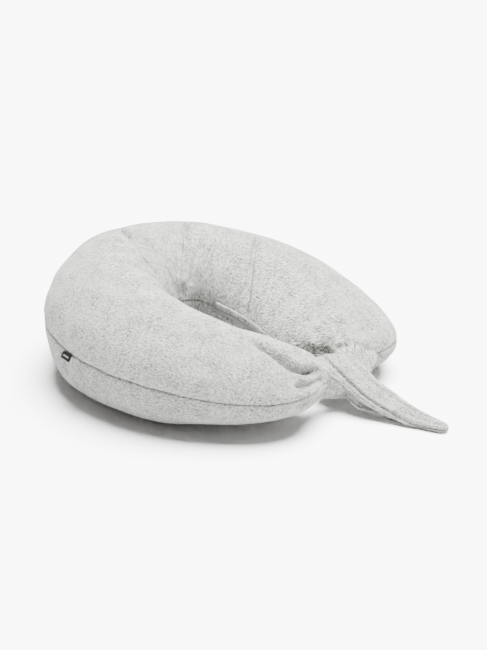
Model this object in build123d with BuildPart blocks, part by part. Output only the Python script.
from build123d import *
import os
from math import asin, cos, degrees, radians, sin

# Crescent nursing pillow, bent into a ring with its two tapered arm ends tied in a half knot.
# Millimetres. +X runs from the back of the ring to the tails, +Z is up, the floor is z = 0.
# The bend angle t runs round the roll: 0 at the back, negative along the front arm (-Y side)
# and positive along the rear arm (+Y side).

# ---- driving dimensions: the roll ----
LOOP_X = -34.0  # middle of the bent centreline
LOOP_Y = -9.0
LOOP_A = 216.0  # half-length of the centreline loop
LOOP_B = 160.0  # half-width of the centreline loop
LOOP_EGG = 0.24  # how much wider the loop is at the back than at the knot
ARM_END = 156.0  # bend angle where the arms taper out
MID_WIDTH = 110.0  # half-width of the roll at the back
END_WIDTH = 26.0
WIDTH_POWER = 10.0
WIDTH_LEAN = 9.0  # the rear arm lies wider and flatter than the front arm
MID_HEIGHT = 103.0
END_HEIGHT = 26.0
HEIGHT_POWER = 1.6
HEIGHT_ROOT = 1.5
HEIGHT_LEAN = 6.0
END_LIFT = 38.0  # the knot holds the arm ends off the floor
LIFT_FROM = 0.7
SOLE_SHARE = 0.35  # share of the half-width that lies flat on the floor
SOLE_CUT = 0.4  # the fabric pressed flat by the weight
SHARED_BENDS = (0, 28, 56, 84, 108, 126, 138, 146)

# ---- fabric ----
COVER = 2.5  # quilted jersey cover
COVER_END = ARM_END - 3.0  # bend angle where the cover's hollow ends
CASING_INSET = 6.0
CASING = 1.0  # woven casing of the filling
CASING_END = ARM_END - 6.0
FILL_INSET = 7.4
FILL_END = CASING_END - 1.4
SEAM_GAP = 0.15  # each panel stops this far from the seam's own level
GROOVE = 1.6  # the seam line sunk between the two cover panels
THREAD = 0.4  # thread radius
THREAD_SUNK = GROOVE - THREAD * 2**0.5 - 0.05  # how deep the thread lies in its groove
THREAD_END = 144.0
THREAD_ZIP_GAP = 4.0  # the inner seam's thread stops this many degrees before the zip

# ---- zip on the inner seam of the rear arm ----
ZIP_FROM = 62.0  # bend angles of the zip's two ends
ZIP_TO = 122.0
SLOT_MARGIN = 2.0
SLOT_HALF = 5.5
SLOT_DEPTH = 6.0
TAPE_IN = 0.3
TAPE_OUT = 0.9
TAPE_LOW = 0.9
TAPE_HIGH = 8.5
TAPE_SHORT = 0.5
STOP_IN = -0.4
STOP_OUT = 1.6
STOP_LONG = 2.0
TEETH_SHORT = 3.5
TOOTH_PITCH = 3.0
TOOTH_WIDE = 1.2
TOOTH_DEEP = 2.0
TOOTH_LOW = 0.6
TOOTH_HIGH = 3.0
PLATE = 0.9
FRONT_FACE = 1.8  # how far the slider stands out of the zip's cylinder
BACK_FACE = 3.0
SLIDER_LONG = 10.0
SLIDER_HALF = 4.0
NECK_LONG = 4.0
NECK_THICK = 0.8
FLANGE = 0.6
LUG_AT = 3.0  # the two lugs stand this far from the slider's middle
LUG_LONG = 0.9
LUG_HIGH = 2.4
PIN_OUT = 3.4
PIN_R = 0.6
EYE_CLEAR = 0.1
EYE_R = 1.4
TAB_LONG = 20.0
TAB_NECK = 4.4
TAB_WIDE = 7.0
TAB_THICK = 1.2
PARK = 7.0  # distance from the zip's end to the middle of the parked slider
PLACKET_IN = 4.5
PLACKET_THICK = 1.2
PLACKET_LOW = 3.0
PLACKET_HIGH = 12.0
PLACKET_ROOT = 9.0

# ---- label in the outer seam ----
LABEL_BEND = -60.0
LABEL_LONG = 25.0
LABEL_DEEP = 11.0
LABEL_THICK = 1.0
LABEL_GAP = 1.2  # the label stands this far off the cover
LABEL_DROOP = 40.0  # degrees below level

# ---- care label inside the inner seam ----
CARE_BEND = 136.0
CARE_INSET = 3.4
CARE_THICK = 0.4
CARE_WIDE = 22.0
CARE_DEEP = 24.0
CARE_DROP = 20.0

# ---- knot and tails ----
KNOT = (178.0, 16.0, 50.0)
KNOT_R = 22.0
KNOT_THICK = 4.5
KNOT_WIDE = 13.0
KNOT_FACING = (0.8, 0.6, 0)  # from the knot's middle, across the wrap
KNOT_AXIS = (0.6, -0.8, 0)

os.makedirs("parts", exist_ok=True)


# ---------------------------------------------------------------- the roll's form
def clamp(value):
    return min(max(value, 0.0), 1.0)


def half_width(t):
    reach = abs(t) / ARM_END
    return END_WIDTH + (MID_WIDTH - END_WIDTH) * (1 - reach**WIDTH_POWER) + WIDTH_LEAN * sin(radians(t))


def half_height(t):
    reach = clamp(abs(t) / ARM_END)
    swell = (1 - reach**HEIGHT_POWER) ** (1 / HEIGHT_ROOT)
    return END_HEIGHT + (MID_HEIGHT - END_HEIGHT) * swell - HEIGHT_LEAN * sin(radians(t))


def seam_height(t):
    lift = clamp((abs(t) / ARM_END - LIFT_FROM) / (1 - LIFT_FROM))
    return half_height(t) + END_LIFT * lift**2


def centre(t):
    turn = radians(t)
    x = LOOP_X - LOOP_A * cos(turn)
    y = LOOP_Y + LOOP_B * sin(turn) * (1 + LOOP_EGG * cos(turn))
    return Vector(x, y, seam_height(t))


def heading(t):
    turn = radians(t)
    along = Vector(LOOP_A * sin(turn), LOOP_B * (cos(turn) + LOOP_EGG * cos(2 * turn)), 0)
    return along.normalized()


def outward(t):
    along = heading(t)
    return Vector(-along.Y, along.X, 0)


def section_plane(t):
    """The plane across the roll: x points out of the ring, y points up."""
    return Plane(origin=centre(t), x_dir=outward(t), z_dir=heading(t))


def seam_point(t, side, sunk=0.0):
    """A point on the outer (side 1) or inner (side -1) seam."""
    return centre(t) + outward(t) * side * (half_width(t) - sunk)


def bends(reach):
    """Section angles, the same for every layer up to where the layers end."""
    last = SHARED_BENDS[-1]
    half = list(SHARED_BENDS[1:]) + [(last + reach) / 2, reach]
    return [-t for t in reversed(half)] + [0] + half


def ellipse_arc(shift, wide, high, first, last):
    """Part of an ellipse about (shift, 0), between two of its own angles in degrees."""
    EllipticalCenterArc((shift, 0), wide, high, start_angle=first, arc_size=last - first)


def seam_edges(step, rise, side, groove):
    """Close a half section along the seam, with its outer edges cut back into a groove."""
    level = side * SEAM_GAP
    if groove:
        Line((step, rise), (step - groove, level))
        Line((-step, rise), (groove - step, level))
    Line((step - groove, level), (groove - step, level))


def upper_edges(wide, high, groove):
    rise = max(groove, SEAM_GAP)
    skip = degrees(asin(rise / high))
    ellipse_arc(0, wide, high, skip, 180 - skip)
    seam_edges(wide * cos(radians(skip)), rise, 1, groove)


def lower_edges(wide, deep, groove):
    flat = SOLE_SHARE * wide
    curve = wide - flat
    rise = max(groove, SEAM_GAP)
    skip = degrees(asin(rise / deep))
    ellipse_arc(flat, curve, deep, -90, -skip)
    ellipse_arc(-flat, curve, deep, 180 + skip, 270)
    Line((flat, -deep), (-flat, -deep))
    seam_edges(flat + curve * cos(radians(skip)), -rise, -1, groove)


def whole_edges(wide, high, deep):
    flat = SOLE_SHARE * wide
    ellipse_arc(0, wide, high, 0, 180)
    ellipse_arc(flat, wide - flat, deep, -90, 0)
    ellipse_arc(-flat, wide - flat, deep, 180, 270)
    Line((flat, -deep), (-flat, -deep))


def roll_form(part, inset, reach, groove=0.0, mode=Mode.ADD):
    """Loft the upper half, the lower half or the whole of the roll, inset all round."""
    sections = []
    for t in bends(reach):
        wide = half_width(t) - inset
        high = half_height(t) - inset
        deep = high + SOLE_CUT
        with BuildSketch(section_plane(t)) as section:
            with BuildLine():
                if part == "upper":
                    upper_edges(wide, high, groove)
                elif part == "lower":
                    lower_edges(wide, deep, groove)
                else:
                    whole_edges(wide, high, deep)
            make_face()
        sections.append(section.sketch)
    loft(sections, mode=mode)


def strand(stations, mode=Mode.ADD, profile="oval"):
    """Loft a fabric strand: each station is its centre, direction, half-width and half-height."""
    sections = []
    for place, along, wide, high in stations:
        forward = Vector(*along).normalized()
        level = Vector(forward.Y, -forward.X, 0).normalized()
        with BuildSketch(Plane(origin=place, x_dir=level, z_dir=forward)) as section:
            if profile == "oval":
                Ellipse(wide, high)
            else:
                up = 1 if (forward.cross(level)).Z > 0 else -1
                rise = up * high * (1 if profile == "over" else -1)
                with BuildLine():
                    ThreePointArc((-wide, 0), (0, rise), (wide, 0))
                    Line((-wide, 0), (wide, 0))
                make_face()
        sections.append(section.sketch)
    loft(sections, mode=mode)


# ---------------------------------------------------------------- the zip's own frame
zip_first = seam_point(ZIP_FROM, -1)
zip_last = seam_point(ZIP_TO, -1)
zip_middle = seam_point((ZIP_FROM + ZIP_TO) / 2, -1)
chord = zip_last - zip_first
zip_across = Vector(-chord.Y, chord.X, 0).normalized()  # level, out of the ring hole
zip_up = chord.normalized().cross(zip_across)
zip_up = zip_up if zip_up.Z > 0 else zip_up * -1
sagitta = (zip_middle - (zip_first + zip_last) * 0.5).dot(zip_across)
ZIP_R = (chord.length**2 / 4 + sagitta**2) / (2 * sagitta)
zip_centre = (zip_first + zip_last) * 0.5 + zip_across * (sagitta - ZIP_R)
zip_plane = Plane(origin=zip_centre, x_dir=zip_across, z_dir=zip_up)
ZIP_SPAN = degrees(asin(chord.length / 2 / ZIP_R))  # the zip runs this far each way from its middle
park_angle = -ZIP_SPAN + degrees(PARK / ZIP_R)
ZIP_TRAVEL = 2 * (ZIP_SPAN - degrees(PARK / ZIP_R))


def zip_band(inner, outer, low, high, first, last, mode=Mode.ADD):
    """A band round the zip's arc: radial offsets, height limits and end angles."""
    with BuildSketch(zip_plane.offset(low)) as band:
        with BuildLine():
            near = CenterArc((0, 0), ZIP_R + inner, first, last - first)
            far = CenterArc((0, 0), ZIP_R + outer, first, last - first)
            Line(near @ 0, far @ 0)
            Line(near @ 1, far @ 1)
        make_face()
    extrude(band.sketch, amount=high - low, mode=mode)


def zip_face(angle, outwards):
    """A plane facing the ring hole at an angle along the zip: x runs along the zip, y is up."""
    radial = zip_across.rotate(Axis((0, 0, 0), zip_up), angle)
    place = zip_centre + radial * (ZIP_R - outwards)
    return Plane(origin=place, x_dir=zip_up.cross(radial) * -1, z_dir=radial * -1)


def zip_slot(mode=Mode.SUBTRACT):
    margin = degrees(SLOT_MARGIN / ZIP_R)
    zip_band(-SLOT_DEPTH, SLOT_DEPTH, -SLOT_HALF, SLOT_HALF, -ZIP_SPAN - margin, ZIP_SPAN + margin, mode)


# ---------------------------------------------------------------- cover
with BuildPart() as cover_top_panel:
    roll_form("upper", 0, ARM_END, groove=GROOVE)
    roll_form("whole", COVER, COVER_END, mode=Mode.SUBTRACT)
    zip_slot()
cover_top_panel.part.label = "cover_top_panel"
export_step(cover_top_panel.part, "parts/cover_top_panel.step")

with BuildPart() as cover_bottom_panel:
    roll_form("lower", 0, ARM_END, groove=GROOVE)
    roll_form("whole", COVER, COVER_END, mode=Mode.SUBTRACT)
    zip_slot()
    split(bisect_by=Plane.XY)
cover_bottom_panel.part.label = "cover_bottom_panel"
export_step(cover_bottom_panel.part, "parts/cover_bottom_panel.step")

# ---------------------------------------------------------------- casing and filling
with BuildPart() as casing_top_panel:
    roll_form("upper", CASING_INSET, CASING_END)
    roll_form("whole", CASING_INSET + CASING, CASING_END - CASING, mode=Mode.SUBTRACT)
casing_top_panel.part.label = "casing_top_panel"
export_step(casing_top_panel.part, "parts/casing_top_panel.step")

with BuildPart() as casing_bottom_panel:
    roll_form("lower", CASING_INSET, CASING_END)
    roll_form("whole", CASING_INSET + CASING, CASING_END - CASING, mode=Mode.SUBTRACT)
casing_bottom_panel.part.label = "casing_bottom_panel"
export_step(casing_bottom_panel.part, "parts/casing_bottom_panel.step")

with BuildPart() as filling:
    roll_form("whole", FILL_INSET, FILL_END)
filling.part.label = "filling"
export_step(filling.part, "parts/filling.step")


# ---------------------------------------------------------------- seam threads
def thread_run(side, first, last, count):
    """A thread lying in the seam groove between two bend angles."""
    sections = []
    for k in range(count + 1):
        t = first + (last - first) * k / count
        along = seam_point(t + 0.5, side, THREAD_SUNK) - seam_point(t - 0.5, side, THREAD_SUNK)
        with BuildSketch(Plane(origin=seam_point(t, side, THREAD_SUNK), z_dir=along)) as section:
            Circle(THREAD)
        sections.append(section.sketch)
    loft(sections)


with BuildPart() as outer_seam_thread:
    thread_run(1, -THREAD_END, THREAD_END, 30)
outer_seam_thread.part.label = "outer_seam_thread"
export_step(outer_seam_thread.part, "parts/outer_seam_thread.step")

with BuildPart() as inner_seam_thread:
    thread_run(-1, -THREAD_END, ZIP_FROM - THREAD_ZIP_GAP, 24)
    thread_run(-1, ZIP_TO + THREAD_ZIP_GAP, THREAD_END, 6)
inner_seam_thread.part.label = "inner_seam_thread"
export_step(inner_seam_thread.part, "parts/inner_seam_thread.step")

# ---------------------------------------------------------------- zip
TAPE_END = ZIP_SPAN - degrees(TAPE_SHORT / ZIP_R)
with BuildPart() as zip_tape_upper:
    zip_band(TAPE_IN, TAPE_OUT, TAPE_LOW, TAPE_HIGH, -TAPE_END, TAPE_END)
zip_tape_upper.part.label = "zip_tape_upper"
export_step(zip_tape_upper.part, "parts/zip_tape_upper.step")

with BuildPart() as zip_tape_lower:
    zip_band(TAPE_IN, TAPE_OUT, -TAPE_HIGH, -TAPE_LOW, -TAPE_END, TAPE_END)
zip_tape_lower.part.label = "zip_tape_lower"
export_step(zip_tape_lower.part, "parts/zip_tape_lower.step")

TEETH_SPAN = ZIP_SPAN - degrees(TEETH_SHORT / ZIP_R)
TOOTH_COUNT = int(2 * radians(TEETH_SPAN) * ZIP_R / TOOTH_PITCH)
tooth_step = degrees(TOOTH_PITCH / ZIP_R)
TOOTH_MIDDLE = (TAPE_IN + TAPE_OUT) / 2


def tooth_row(low, high, shift):
    first = -TEETH_SPAN + shift * tooth_step
    with BuildSketch(zip_plane.offset(low)) as teeth:
        with PolarLocations(ZIP_R + TOOTH_MIDDLE, TOOTH_COUNT, first, TOOTH_COUNT * tooth_step):
            Rectangle(TOOTH_DEEP, TOOTH_WIDE)
    extrude(teeth.sketch, amount=high - low)


with BuildPart() as zip_teeth_upper:
    tooth_row(TOOTH_LOW, TOOTH_HIGH, 0.25)
zip_teeth_upper.part.label = "zip_teeth_upper"
export_step(zip_teeth_upper.part, "parts/zip_teeth_upper.step")

with BuildPart() as zip_teeth_lower:
    tooth_row(-TOOTH_HIGH, -TOOTH_LOW, 0.75)
zip_teeth_lower.part.label = "zip_teeth_lower"
export_step(zip_teeth_lower.part, "parts/zip_teeth_lower.step")

STOP_SPAN = degrees(STOP_LONG / ZIP_R)
with BuildPart() as zip_top_stops:
    zip_band(STOP_IN, STOP_OUT, TAPE_LOW, TOOTH_HIGH, -TAPE_END, -TAPE_END + STOP_SPAN)
    zip_band(STOP_IN, STOP_OUT, -TOOTH_HIGH, -TAPE_LOW, -TAPE_END, -TAPE_END + STOP_SPAN)
zip_top_stops.part.label = "zip_top_stops"
export_step(zip_top_stops.part, "parts/zip_top_stops.step")

with BuildPart() as zip_bottom_stop:
    zip_band(STOP_IN, STOP_OUT, -TOOTH_HIGH, TOOTH_HIGH, TAPE_END - STOP_SPAN, TAPE_END)
zip_bottom_stop.part.label = "zip_bottom_stop"
export_step(zip_bottom_stop.part, "parts/zip_bottom_stop.step")

front_plane = zip_face(park_angle, FRONT_FACE - PLATE)
with BuildPart() as zip_slider:
    with BuildSketch(front_plane):
        SlotOverall(SLIDER_LONG, 2 * SLIDER_HALF)
    extrude(amount=PLATE)
    with BuildSketch(zip_face(park_angle, -BACK_FACE)):
        SlotOverall(SLIDER_LONG, 2 * SLIDER_HALF)
    extrude(amount=PLATE)
    with BuildSketch(zip_face(park_angle, -BACK_FACE)):
        Rectangle(NECK_LONG, NECK_THICK)
    extrude(amount=BACK_FACE + FRONT_FACE)
    with BuildSketch(front_plane):
        with Locations((0, SLIDER_HALF - FLANGE / 2), (0, FLANGE / 2 - SLIDER_HALF)):
            Rectangle(NECK_LONG, FLANGE)
    extrude(amount=-PLATE)
    with BuildSketch(zip_face(park_angle, FRONT_FACE - 0.1)):
        with Locations((-LUG_AT, 0), (LUG_AT, 0)):
            Rectangle(LUG_LONG, LUG_HIGH)
    extrude(amount=PIN_OUT - FRONT_FACE + PIN_R + 0.5)
    pin_plane = zip_face(park_angle, PIN_OUT)
    with BuildSketch(Plane(origin=pin_plane.origin, x_dir=pin_plane.y_dir, z_dir=pin_plane.x_dir)):
        Circle(PIN_R)
    extrude(amount=LUG_AT, both=True)
zip_slider.part.label = "zip_slider"
export_step(zip_slider.part, "parts/zip_slider.step")

with BuildPart() as zip_pull_tab:
    with BuildSketch(Plane(origin=pin_plane.origin, x_dir=pin_plane.y_dir, z_dir=pin_plane.x_dir)):
        Circle(EYE_R)
    extrude(amount=TAB_NECK / 2, both=True)
    with BuildSketch(pin_plane.offset(-TAB_THICK / 2)):
        with Locations((0, -TAB_LONG * 0.25)):
            Rectangle(TAB_NECK, TAB_LONG * 0.4)
        with Locations((0, -TAB_LONG * 0.65)):
            RectangleRounded(TAB_WIDE, TAB_LONG * 0.7, 2.4)
        with Locations((0, -TAB_LONG * 0.82)):
            Circle(1.4, mode=Mode.SUBTRACT)
    extrude(amount=TAB_THICK)
    with BuildSketch(Plane(origin=pin_plane.origin, x_dir=pin_plane.y_dir, z_dir=pin_plane.x_dir)):
        Circle(PIN_R + EYE_CLEAR)
    extrude(amount=TAB_NECK, both=True, mode=Mode.SUBTRACT)
zip_pull_tab.part.label = "zip_pull_tab"
export_step(zip_pull_tab.part, "parts/zip_pull_tab.step")

with BuildPart() as zip_placket:
    zip_band(-PLACKET_IN, PLACKET_THICK - PLACKET_IN, PLACKET_LOW, PLACKET_HIGH, -ZIP_SPAN, ZIP_SPAN)
    zip_band(PLACKET_THICK - PLACKET_IN, COVER, PLACKET_ROOT, PLACKET_HIGH, -ZIP_SPAN, ZIP_SPAN)
zip_placket.part.label = "zip_placket"
export_step(zip_placket.part, "parts/zip_placket.step")

# ---------------------------------------------------------------- labels
with BuildPart() as care_label:
    roll_form("lower", CARE_INSET, CASING_END)
    roll_form("whole", CARE_INSET + CARE_THICK, CASING_END - CASING, mode=Mode.SUBTRACT)
    care_place = seam_point(CARE_BEND, -1) - Vector(0, 0, CARE_DROP)
    with BuildSketch(Plane(origin=care_place, x_dir=heading(CARE_BEND), z_dir=outward(CARE_BEND))):
        Rectangle(CARE_WIDE, CARE_DEEP)
    extrude(amount=14, both=True, mode=Mode.INTERSECT)
care_label.part.label = "care_label"
export_step(care_label.part, "parts/care_label.step")

label_fall = outward(LABEL_BEND) * cos(radians(LABEL_DROOP)) - Vector(0, 0, sin(radians(LABEL_DROOP)))
label_plane = Plane(
    origin=seam_point(LABEL_BEND, 1, -LABEL_GAP),
    x_dir=heading(LABEL_BEND),
    z_dir=heading(LABEL_BEND).cross(label_fall),
)
with BuildPart() as brand_label:
    with BuildSketch(label_plane.offset(-LABEL_THICK / 2)):
        with Locations((0, LABEL_DEEP / 2)):
            Rectangle(LABEL_LONG, LABEL_DEEP)
    extrude(amount=LABEL_THICK)
brand_label.part.label = "brand_label"
export_step(brand_label.part, "parts/brand_label.step")

# ---------------------------------------------------------------- knot and tails
front_end = centre(-ARM_END)
rear_end = centre(ARM_END)
front_along = heading(-ARM_END) * -1
rear_along = heading(ARM_END)

with BuildPart() as front_tie:
    strand(
        [
            (front_end, front_along, half_width(-ARM_END), half_height(-ARM_END)),
            ((174, -42, 54), (0.5, 0.75, -0.45), 17, 20),
            ((182, -26, 40), (0.3, 0.75, -0.6), 14, 14),
            ((186, -12, 30), (0.1, 0.9, -0.4), 13, 10),
        ]
    )
front_tie.part.label = "front_tie"
export_step(front_tie.part, "parts/front_tie.step")

with BuildPart() as rear_tie:
    strand(
        [
            (rear_end, rear_along, half_width(ARM_END), half_height(ARM_END)),
            ((171, 28, 56), (0.55, -0.8, -0.3), 20, 19),
            ((181, 13, 48), (0.6, -0.75, -0.5), 16, 16),
            ((193, 0, 34), (0.7, -0.5, -0.7), 15, 13),
            ((211, -4, 18), (0.85, -0.1, -0.4), 12, 8),
        ]
    )
rear_tie.part.label = "rear_tie"
export_step(rear_tie.part, "parts/rear_tie.step")

with BuildPart() as knot_wrap:
    with BuildSketch(Plane(origin=KNOT, x_dir=KNOT_FACING, z_dir=(0, 0, 1))):
        with Locations((KNOT_R, 0)):
            Ellipse(KNOT_THICK, KNOT_WIDE)
    revolve(axis=Axis(KNOT, KNOT_AXIS))
knot_wrap.part.label = "knot_wrap"
export_step(knot_wrap.part, "parts/knot_wrap.step")

with BuildPart() as upper_tail_root:
    strand(
        [
            ((150, 6, 62), (0.6, -0.4, 0.7), 24, 5),
            ((176, -2, 76), (0.95, -0.25, 0), 25, 6),
            ((205, -8, 60), (0.9, -0.05, -0.45), 24, 6),
        ]
    )
upper_tail_root.part.label = "upper_tail_root"
export_step(upper_tail_root.part, "parts/upper_tail_root.step")

UPPER_TAIL = [
    ((206, -8, 59), (0.9, -0.05, -0.45), 24, 6),
    ((223, -8, 49), (0.88, 0.05, -0.47), 22, 6.5),
    ((256, -4, 33), (0.9, 0.1, -0.42), 19, 6.5),
    ((286, 0, 21), (0.92, 0.1, -0.36), 17, 6),
    ((316, 3, 12), (0.96, 0.1, -0.24), 15, 5.5),
    ((345, 7, 8), (0.99, 0.1, -0.1), 12, 5),
    ((357, 8, 7), (1, 0.1, 0), 6, 3),
]
with BuildPart() as upper_tail_top_layer:
    strand(UPPER_TAIL, profile="over")
upper_tail_top_layer.part.label = "upper_tail_top_layer"
export_step(upper_tail_top_layer.part, "parts/upper_tail_top_layer.step")

with BuildPart() as upper_tail_bottom_layer:
    strand(UPPER_TAIL, profile="under")
upper_tail_bottom_layer.part.label = "upper_tail_bottom_layer"
export_step(upper_tail_bottom_layer.part, "parts/upper_tail_bottom_layer.step")

LOWER_TAIL = [
    ((214, -5, 16), (1, 0, -0.2), 4, 3),
    ((219, -5, 15), (1, 0.05, -0.2), 9, 4.5),
    ((228, -4, 13), (1, 0.1, -0.15), 12, 5),
    ((256, 1, 9.5), (1, 0.15, -0.08), 11.5, 5),
    ((278, 4, 8), (1, 0.1, 0), 9, 4),
    ((287, 5, 8), (1, 0.1, 0), 4.5, 2.5),
]
with BuildPart() as lower_tail_top_layer:
    strand(LOWER_TAIL, profile="over")
lower_tail_top_layer.part.label = "lower_tail_top_layer"
export_step(lower_tail_top_layer.part, "parts/lower_tail_top_layer.step")

with BuildPart() as lower_tail_bottom_layer:
    strand(LOWER_TAIL, profile="under")
lower_tail_bottom_layer.part.label = "lower_tail_bottom_layer"
export_step(lower_tail_bottom_layer.part, "parts/lower_tail_bottom_layer.step")

# ---------------------------------------------------------------- joint places for the record
for title, place, axis in (
    ("zip slider", zip_centre, zip_up),
    ("pull tab", pin_plane.origin, pin_plane.x_dir * -1),
    ("label", label_plane.origin, label_plane.x_dir),
):
    print(title, "at", place, "axis", axis)
print("zip radius", ZIP_R, "half span", ZIP_SPAN, "travel", ZIP_TRAVEL)
